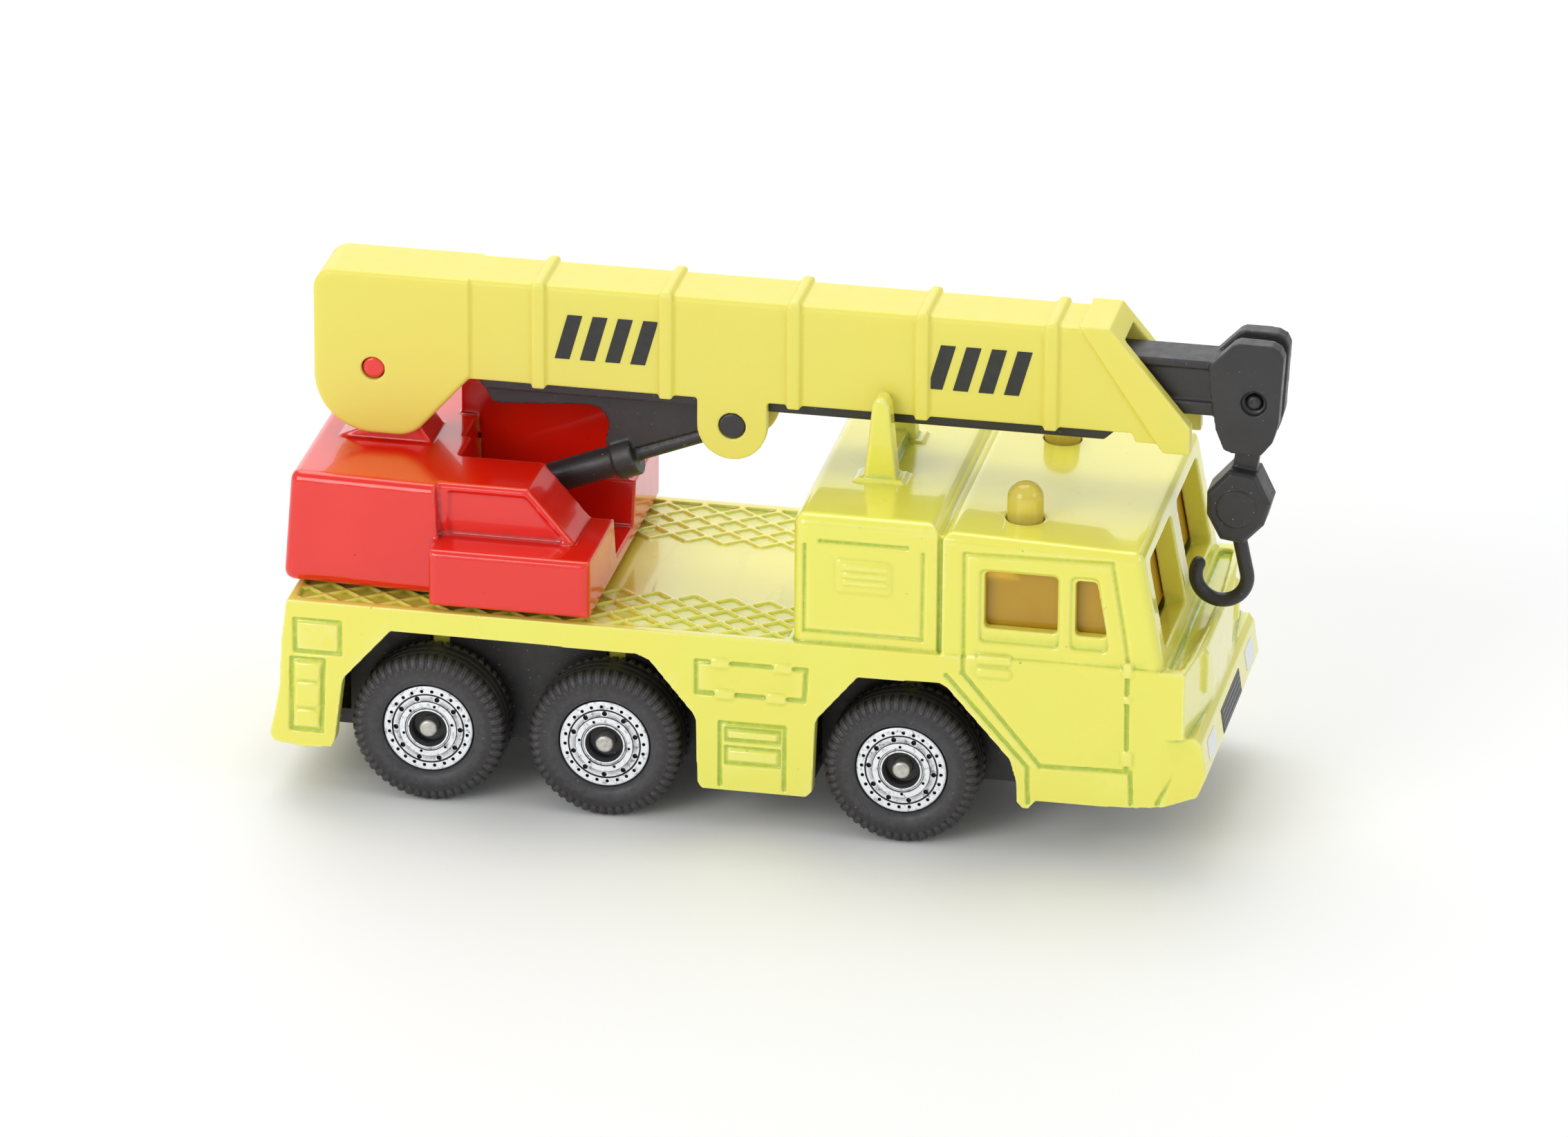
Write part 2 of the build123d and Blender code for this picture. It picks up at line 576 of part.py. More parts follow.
def save(name, shape):
    export_step(shape, f"parts/{name}.step")


save("body_casting", body_casting())
save("base_plate", base_plate())
save("base_rivets", base_rivets())
save("glazing_insert", glazing_insert())
for place, x in axle_xs.items():
    save(f"{place}_axle", axle(x))
    for hand, side in (("right", -1), ("left", 1)):
        save(f"{place}_{hand}_rim", rim(x, side))
        save(f"{place}_{hand}_tyre", tyre(x, side))
save("turret_casting", turret_casting())
save("turret_rivet", turret_rivet())
save("main_boom", main_boom())
save("boom_underside_with_ram", boom_underside())
save("inner_boom", inner_boom())
save("hook_pin", hook_pin())
save("hook_block", hook_block())
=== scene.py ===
import math

import bmesh
import bpy
import numpy as np
from mathutils import Matrix, Vector


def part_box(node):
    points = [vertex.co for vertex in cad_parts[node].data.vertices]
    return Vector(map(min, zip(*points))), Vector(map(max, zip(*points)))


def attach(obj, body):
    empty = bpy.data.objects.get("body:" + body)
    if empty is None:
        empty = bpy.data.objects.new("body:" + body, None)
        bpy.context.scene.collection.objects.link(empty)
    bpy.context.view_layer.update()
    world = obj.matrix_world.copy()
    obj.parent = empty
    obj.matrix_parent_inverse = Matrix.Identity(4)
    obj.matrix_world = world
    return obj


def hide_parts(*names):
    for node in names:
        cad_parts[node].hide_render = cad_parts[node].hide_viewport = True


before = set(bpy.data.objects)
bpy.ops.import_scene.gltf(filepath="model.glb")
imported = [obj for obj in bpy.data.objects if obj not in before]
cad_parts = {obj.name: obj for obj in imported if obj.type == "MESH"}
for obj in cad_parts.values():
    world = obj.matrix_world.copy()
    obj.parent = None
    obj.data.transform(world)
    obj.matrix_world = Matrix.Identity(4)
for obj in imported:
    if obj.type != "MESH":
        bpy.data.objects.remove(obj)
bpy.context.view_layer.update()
mm = 0.001


def boxOf(node):
    # low and high corner of a CAD part's box, in millimetres
    return [[round(value / mm, 3) for value in corner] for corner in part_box(node)]


# camera: a long lens at the near right corner, a little above the truck
cameraSetup = {
    "target": (1.95, -12.5, 21.82),
    "distance": 829.0,
    "azimuth": 11.3,
    "elevation": 23.0,
    "roll": 0.4,
    "lens": 253.97,
    "sensor": 36.0,
    "clip": (0.05, 10.0),
}


def makeCamera(setup):
    azimuth = math.radians(setup["azimuth"])
    elevation = math.radians(setup["elevation"])
    back = Vector((math.sin(azimuth) * math.cos(elevation), -math.cos(azimuth) * math.cos(elevation),
                   math.sin(elevation)))
    turn = back.to_track_quat("Z", "Y").to_matrix() @ Matrix.Rotation(math.radians(setup["roll"]), 3, "Z")
    data = bpy.data.cameras.new("studioCamera")
    data.lens = setup["lens"]
    data.sensor_width = setup["sensor"]
    data.clip_start, data.clip_end = setup["clip"]
    camera = bpy.data.objects.new("studioCamera", data)
    bpy.context.scene.collection.objects.link(camera)
    place = (Vector(setup["target"]) + back * setup["distance"]) * mm
    camera.matrix_world = Matrix.Translation(place) @ turn.to_4x4()
    bpy.context.scene.camera = camera


makeCamera(cameraSetup)
print("camera placed")

# studio: white room, soft box above and behind, pale card at the back, one fill beside the camera
studio = {
    "worldColour": (0.972, 0.988, 1.0),
    "worldStrength": 0.57,
    "floorSize": 3.0,
    "aim": (0.0, 0.0, 0.015),
    "lights": {
        "topBox": {"place": (-0.10, 0.22, 0.55), "size": 0.42, "power": 1.35, "colour": (1.0, 0.99, 0.97)},
        "backCard": {"place": (-0.20, 0.95, 0.42), "size": 0.9, "power": 2.1, "colour": (1.0, 1.0, 1.0)},
        "sideFill": {"place": (-0.45, -0.75, 0.42), "size": 0.5, "power": 3.2, "colour": (1.0, 0.99, 0.98)},
        "noseFill": {"place": (0.75, -0.20, 0.40), "size": 0.4, "power": 0.9, "colour": (0.98, 0.99, 1.0)},
    },
}


def lookAt(place, target):
    return (Vector(place) - Vector(target)).to_track_quat("Z", "Y").to_matrix().to_4x4()


def makeStudio(setup):
    scene = bpy.context.scene
    scene.view_settings.view_transform = "Standard"
    world = bpy.data.worlds.new("studioRoom")
    scene.world = world
    world.use_nodes = True
    background = world.node_tree.nodes["Background"]
    background.inputs["Color"].default_value = (*setup["worldColour"], 1.0)
    background.inputs["Strength"].default_value = setup["worldStrength"]
    for name, light in setup["lights"].items():
        data = bpy.data.lights.new(name, "AREA")
        data.shape = "SQUARE"
        data.size = light["size"]
        data.energy = light["power"]
        data.color = light["colour"]
        lamp = bpy.data.objects.new(name, data)
        scene.collection.objects.link(lamp)
        lamp.matrix_world = Matrix.Translation(Vector(light["place"])) @ lookAt(light["place"], setup["aim"])


makeStudio(studio)
print("studio lit")


def placeMesh(name, bm, smooth=True):
    # a finished piece from a bmesh in millimetres
    mesh = bpy.data.meshes.new(name)
    bm.to_mesh(mesh)
    bm.free()
    mesh.transform(Matrix.Scale(mm, 4))
    piece = bpy.data.objects.new(name, mesh)
    bpy.context.scene.collection.objects.link(piece)
    if smooth:
        mesh.polygons.foreach_set("use_smooth", [True] * len(mesh.polygons))
    return piece


def bakeModifiers(piece):
    view = bpy.context.evaluated_depsgraph_get()
    baked = bpy.data.meshes.new_from_object(piece.evaluated_get(view))
    piece.modifiers.clear()
    old = piece.data
    piece.data = baked
    bpy.data.meshes.remove(old)


def finishPiece(piece, body, materials, nodes=()):
    slots = piece.data.materials
    for i, material in enumerate(materials):
        if i < len(slots):
            slots[i] = material
        else:
            slots.append(material)
    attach(piece, body)
    if nodes:
        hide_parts(*nodes)
    return piece


# shader helpers
def startMaterial(name):
    material = bpy.data.materials.new(name)
    material.use_nodes = True
    tree = material.node_tree
    shader = tree.nodes["Principled BSDF"]
    coords = tree.nodes.new("ShaderNodeTexCoord")
    return material, tree, shader, coords.outputs["Object"]


def noiseNode(tree, coords, scale, detail=2.0, rough=0.5):
    node = tree.nodes.new("ShaderNodeTexNoise")
    node.inputs["Scale"].default_value = scale
    node.inputs["Detail"].default_value = detail
    node.inputs["Roughness"].default_value = rough
    tree.links.new(coords, node.inputs["Vector"])
    return node.outputs["Fac"]


def rangeNode(tree, source, low, high, toLow=0.0, toHigh=1.0):
    node = tree.nodes.new("ShaderNodeMapRange")
    node.inputs["From Min"].default_value = low
    node.inputs["From Max"].default_value = high
    node.inputs["To Min"].default_value = toLow
    node.inputs["To Max"].default_value = toHigh
    tree.links.new(source, node.inputs["Value"])
    return node.outputs["Result"]


def mixColour(tree, factor, first, second):
    node = tree.nodes.new("ShaderNodeMix")
    node.data_type = "RGBA"
    for socket, value in ((node.inputs[0], factor), (node.inputs[6], first), (node.inputs[7], second)):
        if isinstance(value, (float, tuple)):
            socket.default_value = (*value, 1.0) if isinstance(value, tuple) else value
        else:
            tree.links.new(value, socket)
    return node.outputs[2]


def roughen(tree, shader, coords, scale, low, high):
    # roughness that wanders between two values
    wander = rangeNode(tree, noiseNode(tree, coords, scale), 0.3, 0.7, low, high)
    tree.links.new(wander, shader.inputs["Roughness"])


def addBump(tree, shader, height, distance):
    bump = tree.nodes.new("ShaderNodeBump")
    bump.inputs["Distance"].default_value = distance
    bump.inputs["Strength"].default_value = 1.0
    tree.links.new(height, bump.inputs["Height"])
    tree.links.new(bump.outputs["Normal"], shader.inputs["Normal"])


def reliefGroup():
    # masks of hollows and of edges, from the relief that every cast skin carries, broken up by noise; the
    # enamels and plastics use them for painted shade in hollows and painted highlights on edges
    group = bpy.data.node_groups.new("reliefMasks", "ShaderNodeTree")
    group.interface.new_socket("Breakup", in_out="INPUT", socket_type="NodeSocketFloat")
    group.interface.new_socket("Hollow", in_out="OUTPUT", socket_type="NodeSocketFloat")
    group.interface.new_socket("Edge", in_out="OUTPUT", socket_type="NodeSocketFloat")
    inside = group.nodes.new("NodeGroupInput")
    outside = group.nodes.new("NodeGroupOutput")
    coords = group.nodes.new("ShaderNodeTexCoord").outputs["Object"]
    speckle = noiseNode(group, coords, scale=1900.0, detail=3.0, rough=0.6)
    for output, attribute in (("Hollow", "hollow"), ("Edge", "edge")):
        source = group.nodes.new("ShaderNodeAttribute")
        source.attribute_name = attribute
        centred = rangeNode(group, speckle, 0.3, 0.7, -0.5, 0.5)
        spread = group.nodes.new("ShaderNodeMath")
        spread.operation = "MULTIPLY_ADD"
        group.links.new(centred, spread.inputs[0])
        group.links.new(inside.outputs["Breakup"], spread.inputs[1])
        spread.inputs[2].default_value = 1.0
        product = group.nodes.new("ShaderNodeMath")
        product.operation = "MULTIPLY"
        product.use_clamp = True
        group.links.new(source.outputs["Fac"], product.inputs[0])
        group.links.new(spread.outputs[0], product.inputs[1])
        group.links.new(product.outputs[0], outside.inputs[output])
    return group


def grainGroup():
    # fine moulded grain and slow waviness of a surface, as one height
    group = bpy.data.node_groups.new("surfaceGrain", "ShaderNodeTree")
    group.interface.new_socket("Fine Scale", in_out="INPUT", socket_type="NodeSocketFloat")
    group.interface.new_socket("Wave Scale", in_out="INPUT", socket_type="NodeSocketFloat")
    group.interface.new_socket("Wave Share", in_out="INPUT", socket_type="NodeSocketFloat")
    group.interface.new_socket("Height", in_out="OUTPUT", socket_type="NodeSocketFloat")
    inside = group.nodes.new("NodeGroupInput")
    outside = group.nodes.new("NodeGroupOutput")
    coords = group.nodes.new("ShaderNodeTexCoord").outputs["Object"]
    fine = group.nodes.new("ShaderNodeTexNoise")
    wave = group.nodes.new("ShaderNodeTexNoise")
    for node, socket in ((fine, "Fine Scale"), (wave, "Wave Scale")):
        node.inputs["Detail"].default_value = 2.0
        group.links.new(coords, node.inputs["Vector"])
        group.links.new(inside.outputs[socket], node.inputs["Scale"])
    blend = group.nodes.new("ShaderNodeMix")
    group.links.new(inside.outputs["Wave Share"], blend.inputs[0])
    group.links.new(fine.outputs["Fac"], blend.inputs[2])
    group.links.new(wave.outputs["Fac"], blend.inputs[3])
    group.links.new(blend.outputs[0], outside.inputs["Height"])
    return group


reliefMasks = reliefGroup()
surfaceGrain = grainGroup()


def useRelief(tree, breakup):
    node = tree.nodes.new("ShaderNodeGroup")
    node.node_tree = reliefMasks
    node.inputs["Breakup"].default_value = breakup
    return node.outputs["Hollow"], node.outputs["Edge"]


def useGrain(tree, fineScale, waveScale, waveShare):
    node = tree.nodes.new("ShaderNodeGroup")
    node.node_tree = surfaceGrain
    node.inputs["Fine Scale"].default_value = fineScale
    node.inputs["Wave Scale"].default_value = waveScale
    node.inputs["Wave Share"].default_value = waveShare
    return node.outputs["Height"]


def enamel(name, look):
    # gloss enamel on a zinc casting: painted shade in hollows, a painted highlight on edges, slow waviness
    # under the gloss
    material, tree, shader, coords = startMaterial(name)
    hollow, edge = useRelief(tree, breakup=0.7)
    patch = rangeNode(tree, noiseNode(tree, coords, scale=140.0), 0.35, 0.65)
    thin = rangeNode(tree, edge, 0.25, 1.0, 0.0, look["edgeShare"])
    speck = rangeNode(tree, noiseNode(tree, coords, scale=2600.0, detail=1.0), 0.8, 0.815)
    colour = mixColour(tree, patch, look["colour"], look["patch"])
    # painted shade: the enamel is darkened in its hollows
    colour = mixColour(tree, hollow, colour, look["hollowShade"])
    # painted highlight: the enamel is lightened on its convex edges
    colour = mixColour(tree, thin, colour, look["edge"])
    # random dark specks, in the same colour as the painted hollow shade
    colour = mixColour(tree, speck, colour, look["hollowShade"])
    tree.links.new(colour, shader.inputs["Base Color"])
    roughen(tree, shader, coords, 300.0, look["rough"], look["rough"] + 0.08)
    shader.inputs["Coat Weight"].default_value = look["coat"]
    shader.inputs["Coat Roughness"].default_value = 0.05
    grain = useGrain(tree, fineScale=900.0, waveScale=260.0, waveShare=0.9)
    addBump(tree, shader, grain, look["waviness"])
    return material


def boomPlastic(name, look):
    # glossy plastic that lets a little light in, with painted shade darkening its grooves and a painted
    # highlight paling its edges
    material, tree, shader, coords = startMaterial(name)
    hollow, edge = useRelief(tree, breakup=0.5)
    patch = rangeNode(tree, noiseNode(tree, coords, scale=95.0, detail=3.0), 0.3, 0.7)
    colour = mixColour(tree, patch, look["colour"], look["patch"])
    # painted shade in the grooves
    colour = mixColour(tree, rangeNode(tree, hollow, 0.0, 1.0, 0.0, look["hollowShadeShare"]), colour, look["hollowShade"])
    # painted highlight on the edges
    colour = mixColour(tree, rangeNode(tree, edge, 0.2, 1.0, 0.0, look["edgeShare"]), colour, look["edge"])
    tree.links.new(colour, shader.inputs["Base Color"])
    roughen(tree, shader, coords, 900.0, look["rough"], look["rough"] + 0.12)
    shader.inputs["Subsurface Weight"].default_value = look["scatter"]
    shader.inputs["Subsurface Scale"].default_value = 0.0012
    shader.inputs["Subsurface Radius"].default_value = (1.0, 0.8, 0.2)
    grain = useGrain(tree, fineScale=5200.0, waveScale=300.0, waveShare=0.55)
    addBump(tree, shader, grain, 0.00001)
    return material


def blackPlastic(name, look):
    # satin black, with a painted highlight greying its edges and painted shade darkening its hollows, and
    # specks of dust
    material, tree, shader, coords = startMaterial(name)
    hollow, edge = useRelief(tree, breakup=0.9)
    patch = rangeNode(tree, noiseNode(tree, coords, scale=260.0, detail=3.0), 0.3, 0.7)
    specks = noiseNode(tree, coords, scale=4800.0, detail=1.0)
    colour = mixColour(tree, patch, look["colour"], look["patch"])
    # painted highlight on the edges
    colour = mixColour(tree, rangeNode(tree, edge, 0.3, 1.0, 0.0, 0.5), colour, look["edge"])
    # painted shade in the hollows
    colour = mixColour(tree, rangeNode(tree, hollow, 0.2, 1.0, 0.0, 0.5), colour, look["hollowShade"])
    colour = mixColour(tree, rangeNode(tree, specks, 0.755, 0.79, 0.0, look["dust"]), colour, dustGrey)
    tree.links.new(colour, shader.inputs["Base Color"])
    roughen(tree, shader, coords, 1400.0, look["rough"], look["rough"] + 0.14)
    grain = useGrain(tree, fineScale=look["grain"], waveScale=500.0, waveShare=0.3)
    addBump(tree, shader, grain, look["depth"])
    return material


def amberClear(name, look):
    material, tree, shader, coords = startMaterial(name)
    patch = rangeNode(tree, noiseNode(tree, coords, scale=180.0), 0.3, 0.7)
    pane = mixColour(tree, patch, look["pane"], look["patch"])
    # light gathers in the two domes, so they are paler than the panes below the roof
    axes = tree.nodes.new("ShaderNodeSeparateXYZ")
    tree.links.new(coords, axes.inputs[0])
    dome = rangeNode(tree, axes.outputs["Z"], look["domeFrom"], look["domeFrom"] + 0.001)
    tree.links.new(mixColour(tree, dome, pane, look["dome"]), shader.inputs["Base Color"])
    roughen(tree, shader, coords, 800.0, look["rough"], look["rough"] + 0.08)
    shader.inputs["Transmission Weight"].default_value = look["clear"]
    shader.inputs["IOR"].default_value = 1.49
    grain = useGrain(tree, fineScale=2500.0, waveScale=380.0, waveShare=0.9)
    addBump(tree, shader, grain, 0.000008)
    return material


def wireSteel(name, dark, bright):
    material, tree, shader, coords = startMaterial(name)
    grain = noiseNode(tree, coords, scale=2400.0, detail=4.0, rough=0.7)
    colour = mixColour(tree, rangeNode(tree, grain, 0.3, 0.7), dark, bright)
    tree.links.new(colour, shader.inputs["Base Color"])
    tree.links.new(rangeNode(tree, grain, 0.3, 0.7, 0.32, 0.55), shader.inputs["Roughness"])
    shader.inputs["Metallic"].default_value = 0.85
    addBump(tree, shader, grain, 0.00002)
    return material


def silverPrint(name, bare, printed):
    # thin silver print on black plastic, patchy where the pad did not press hard
    material, tree, shader, coords = startMaterial(name)
    cover = rangeNode(tree, noiseNode(tree, coords, scale=2600.0, detail=5.0, rough=0.7), 0.3, 0.46)
    hollow = useRelief(tree, breakup=0.6)[0]
    worn = tree.nodes.new("ShaderNodeMath")
    worn.operation = "SUBTRACT"
    worn.use_clamp = True
    tree.links.new(cover, worn.inputs[0])
    tree.links.new(hollow, worn.inputs[1])
    tree.links.new(mixColour(tree, worn.outputs[0], bare, printed), shader.inputs["Base Color"])
    tree.links.new(rangeNode(tree, cover, 0.0, 1.0, 0.5, 0.34), shader.inputs["Roughness"])
    tree.links.new(rangeNode(tree, worn.outputs[0], 0.0, 1.0, 0.0, 0.2), shader.inputs["Metallic"])
    addBump(tree, shader, cover, 0.00002)
    return material


def printInk(name, colour, other, rough):
    material, tree, shader, coords = startMaterial(name)
    patch = rangeNode(tree, noiseNode(tree, coords, scale=1500.0, detail=4.0, rough=0.65), 0.3, 0.7)
    tree.links.new(mixColour(tree, patch, colour, other), shader.inputs["Base Color"])
    tree.links.new(rangeNode(tree, patch, 0.0, 1.0, rough, rough + 0.12), shader.inputs["Roughness"])
    addBump(tree, shader, noiseNode(tree, coords, scale=3800.0), 0.000006)
    return material


def paleFloor(name, colour, other):
    material, tree, shader, coords = startMaterial(name)
    patch = noiseNode(tree, coords, scale=6.0)
    tree.links.new(mixColour(tree, patch, colour, other), shader.inputs["Base Color"])
    shader.inputs["Roughness"].default_value = 0.6
    return material


dustGrey = (0.55, 0.55, 0.56)
# in each look, the colour for the hollows is painted shade and the colour for the edges is a painted
# highlight
yellowEnamel = enamel("yellowEnamel", {
    "colour": (0.845, 0.82, 0.11), "patch": (0.86, 0.80, 0.105), "hollowShade": (0.42, 0.56, 0.05),
    "edge": (0.92, 0.90, 0.32), "edgeShare": 0.6, "rough": 0.2, "coat": 0.8, "waviness": 0.00003,
})
redEnamel = enamel("redEnamel", {
    "colour": (0.80, 0.011, 0.003), "patch": (0.84, 0.015, 0.003), "hollowShade": (0.30, 0.0, 0.006),
    "edge": (0.88, 0.08, 0.06), "edgeShare": 0.5, "rough": 0.18, "coat": 0.7, "waviness": 0.00004,
})
yellowPlastic = boomPlastic("yellowPlastic", {
    "colour": (0.86, 0.76, 0.13), "patch": (0.83, 0.765, 0.145), "hollowShade": (0.70, 0.58, 0.055),
    "edge": (0.90, 0.84, 0.32), "hollowShadeShare": 0.8, "edgeShare": 0.55, "rough": 0.3, "scatter": 0.18,
})
blackMoulding = blackPlastic("blackMoulding", {
    "colour": (0.026, 0.024, 0.026), "patch": (0.036, 0.034, 0.036), "edge": (0.085, 0.085, 0.09),
    "hollowShade": (0.010, 0.009, 0.009), "dust": 0.5, "rough": 0.34, "grain": 4200.0, "depth": 0.000012,
})
tyreRubber = blackPlastic("tyreRubber", {
    "colour": (0.026, 0.023, 0.025), "patch": (0.033, 0.030, 0.033), "edge": (0.075, 0.075, 0.08),
    "hollowShade": (0.005, 0.004, 0.004), "dust": 0.2, "rough": 0.4, "grain": 5200.0, "depth": 0.00001,
})
amber = amberClear("amberClear", {
    "pane": (0.97, 0.62, 0.045), "patch": (0.90, 0.54, 0.035), "dome": (0.98, 0.84, 0.17),
    "domeFrom": 0.0247, "rough": 0.04, "clear": 0.55,
})
steelWire = wireSteel("steelWire", (0.42, 0.41, 0.38), (0.72, 0.70, 0.66))
blackedSteel = wireSteel("blackedSteel", (0.03, 0.03, 0.032), (0.09, 0.09, 0.095))
rimSilver = silverPrint("rimSilver", (0.22, 0.23, 0.25), (0.90, 0.92, 0.95))
markInk = printInk("markInk", (0.018, 0.018, 0.016), (0.03, 0.03, 0.028), 0.4)
lampInk = printInk("lampInk", (0.78, 0.81, 0.84), (0.88, 0.90, 0.91), 0.3)
grilleInk = printInk("grilleInk", (0.06, 0.065, 0.07), (0.10, 0.10, 0.11), 0.35)
print("materials made")


def makeFloor(size, material):
    bm = bmesh.new()
    bmesh.ops.create_grid(bm, x_segments=8, y_segments=8, size=size / mm)
    floor = placeMesh("studioFloor", bm)
    floor.data.materials.append(material)


makeFloor(studio["floorSize"], paleFloor("paleFloor", (0.93, 0.935, 0.94), (0.95, 0.95, 0.95)))


def addBlock(bm, low, high, turn=None):
    # a box between two corners, turned about its own centre
    low, high = Vector(low), Vector(high)
    place = Matrix.Translation((low + high) / 2)
    if turn is not None:
        place = place @ turn
    matrix = place @ Matrix.Diagonal((*(high - low), 1.0))
    return bmesh.ops.create_cube(bm, size=1.0, matrix=matrix)["verts"]


def addRod(bm, place, radius, length, axis, segments=24):
    turn = {"X": Matrix.Rotation(math.pi / 2, 4, "Y"), "Y": Matrix.Rotation(math.pi / 2, 4, "X"),
            "Z": Matrix.Identity(4)}[axis]
    return bmesh.ops.create_cone(bm, cap_ends=True, segments=segments, radius1=radius, radius2=radius,
                                 depth=length, matrix=Matrix.Translation(Vector(place)) @ turn)["verts"]


def writeRelief(piece, rounds, reach, quiet=0.0):
    # how deep each point lies in a hollow, or stands out on an edge, against the smoothed surface
    mesh = piece.data
    count = len(mesh.vertices)
    points = np.empty(count * 3)
    mesh.vertices.foreach_get("co", points)
    points = points.reshape(-1, 3) / mm
    normals = np.empty(count * 3)
    mesh.vertices.foreach_get("normal", normals)
    normals = normals.reshape(-1, 3)
    pairs = np.empty(len(mesh.edges) * 2, dtype=np.int64)
    mesh.edges.foreach_get("vertices", pairs)
    first, second = pairs[0::2], pairs[1::2]
    degree = np.maximum(np.bincount(first, minlength=count) + np.bincount(second, minlength=count), 1)
    soft = points.copy()
    for _ in range(rounds):
        total = np.empty_like(soft)
        for axis in range(3):
            total[:, axis] = (np.bincount(first, soft[second, axis], count)
                              + np.bincount(second, soft[first, axis], count))
        soft = 0.5 * soft + 0.5 * total / degree[:, None]
    depth = ((soft - points) * normals).sum(1)
    for name, values in (("hollow", (depth - quiet) / reach), ("edge", (-depth - quiet) / reach)):
        attribute = mesh.attributes.new(name, "FLOAT", "POINT")
        attribute.data.foreach_set("value", np.clip(values, 0.0, 1.0).astype(np.float32))


# shared by every cast skin: merge is in metres, quiet in millimetres
skinRules = {"merge": 0.000002, "quickVoxel": 1.6, "softenShare": 0.5, "quiet": 0.006, "normalWeight": 60}


def castSkin(name, node, setup, extras=None):
    # one skin over a casting and its small details, with every edge rounded as thick paint leaves it
    bm = bmesh.new()
    bm.from_mesh(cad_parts[node].data)
    bmesh.ops.remove_doubles(bm, verts=bm.verts[:], dist=skinRules["merge"])
    bmesh.ops.scale(bm, vec=(1 / mm, 1 / mm, 1 / mm), verts=bm.verts[:])
    if extras:
        extras(bm)
    mesh = bpy.data.meshes.new(name)
    bm.to_mesh(mesh)
    bm.free()
    piece = bpy.data.objects.new(name, mesh)
    bpy.context.scene.collection.objects.link(piece)
    remesh = piece.modifiers.new("skin", "REMESH")
    remesh.mode = "VOXEL"
    remesh.voxel_size = setup["voxel"] * 1.0
    soften = piece.modifiers.new("soften", "SMOOTH")
    soften.factor = skinRules["softenShare"]
    soften.iterations = setup["soften"]
    bakeModifiers(piece)
    piece.data.transform(Matrix.Scale(mm, 4))
    writeRelief(piece, setup["spread"], setup["reach"], skinRules["quiet"])
    triangles = len(piece.data.polygons) * 2
    if triangles > setup["triangles"]:
        thin = piece.modifiers.new("thin", "DECIMATE")
        thin.ratio = setup["triangles"] / triangles
        bakeModifiers(piece)
    piece.data.polygons.foreach_set("use_smooth", [True] * len(piece.data.polygons))
    level = piece.modifiers.new("evenNormals", "WEIGHTED_NORMAL")
    level.weight = skinRules["normalWeight"]
    bakeModifiers(piece)
    print(name, "skin from", triangles, "to", len(piece.data.polygons), "faces")
    return piece


# tread plate on both sides of the deck, lamps on the rear face; X is counted from the rear end
bodySkin = {
    "voxel": 0.115, "soften": 2, "spread": 14, "reach": 0.055, "triangles": 195000,
    "latticeX": (2.11, 39.91), "latticeY": (5.1, 12.2), "latticePitch": (2.9, 2.36),
    "latticeWidth": 0.26, "latticeTop": 15.93, "latticeFoot": 15.4, "latticeShift": 0.4, "shortestBar": 0.3,
    "lampY": 9.6, "lampHeights": (12.9, 10.2), "lampRadius": 1.05, "lampX": 1.06, "lampLength": 0.9,
}
bodyLow, bodyHigh = boxOf("body_casting")


def addLattice(bm, setup):
    pitchX, pitchY = setup["latticePitch"]
    lowX, highX = (bodyLow[0] + place for place in setup["latticeX"])
    lowY, highY = setup["latticeY"]
    slope = pitchY / pitchX
    run = (highY - lowY) / slope
    angle = math.atan(slope)
    lines = int((highX - lowX + run) / pitchX) + 1
    for side in (-1, 1):
        for hand in (-1, 1):
            for i in range(lines):
                startX = lowX - run + setup["latticeShift"] + i * pitchX
                near = max(startX, lowX)
                far = min(startX + run, highX)
                if far - near < setup["shortestBar"]:
                    continue
                nearY = lowY + (near - startX) * slope
                farY = lowY + (far - startX) * slope
                if hand < 0:
                    nearY, farY = lowY + highY - nearY, lowY + highY - farY
                length = math.hypot(far - near, farY - nearY)
                centre = ((near + far) / 2, side * (nearY + farY) / 2,
                          (setup["latticeTop"] + setup["latticeFoot"]) / 2)
                half = Vector((length / 2, setup["latticeWidth"] / 2,
                               (setup["latticeTop"] - setup["latticeFoot"]) / 2))
                turn = Matrix.Rotation(hand * side * angle, 4, "Z")
                addBlock(bm, Vector(centre) - half, Vector(centre) + half, turn)


def addRearLamps(bm, setup):
    x = bodyLow[0] + setup["lampX"]
    for z in setup["lampHeights"]:
        for side in (-1, 1):
            addRod(bm, (x, side * setup["lampY"], z), setup["lampRadius"], setup["lampLength"], "X")


def addBodyDetails(bm):
    addLattice(bm, bodySkin)
    addRearLamps(bm, bodySkin)


body = castSkin("paintedBody", "body_casting", bodySkin, addBodyDetails)
finishPiece(body, "truck_body", [yellowEnamel], ["body_casting"])

turretSkin = {"voxel": 0.13, "soften": 4, "spread": 12, "reach": 0.08, "triangles": 120000}
turret = castSkin("paintedTurret", "turret_casting", turretSkin)
finishPiece(turret, "turret", [redEnamel], ["turret_casting"])

boomSkin = {"voxel": 0.12, "soften": 1, "spread": 8, "reach": 0.07, "triangles": 150000}
boom = castSkin("mouldedBoom", "main_boom", boomSkin)
finishPiece(boom, "boom", [yellowPlastic], ["main_boom"])

blackSkins = {
    "boomUnderside": {"node": "boom_underside_with_ram", "body": "boom",
                      "voxel": 0.12, "soften": 1, "spread": 6, "reach": 0.06, "triangles": 60000},
    "slidingBoom": {"node": "inner_boom", "body": "extension",
                    "voxel": 0.11, "soften": 1, "spread": 6, "reach": 0.06, "triangles": 90000},
    "hookAndBlock": {"node": "hook_block", "body": "hook",
                     "voxel": 0.07, "soften": 2, "spread": 6, "reach": 0.05, "triangles": 40000},
}
for name, setup in blackSkins.items():
    skin = castSkin(name, setup["node"], setup)
    finishPiece(skin, setup["body"], [blackMoulding], [setup["node"]])
print("castings and mouldings skinned")


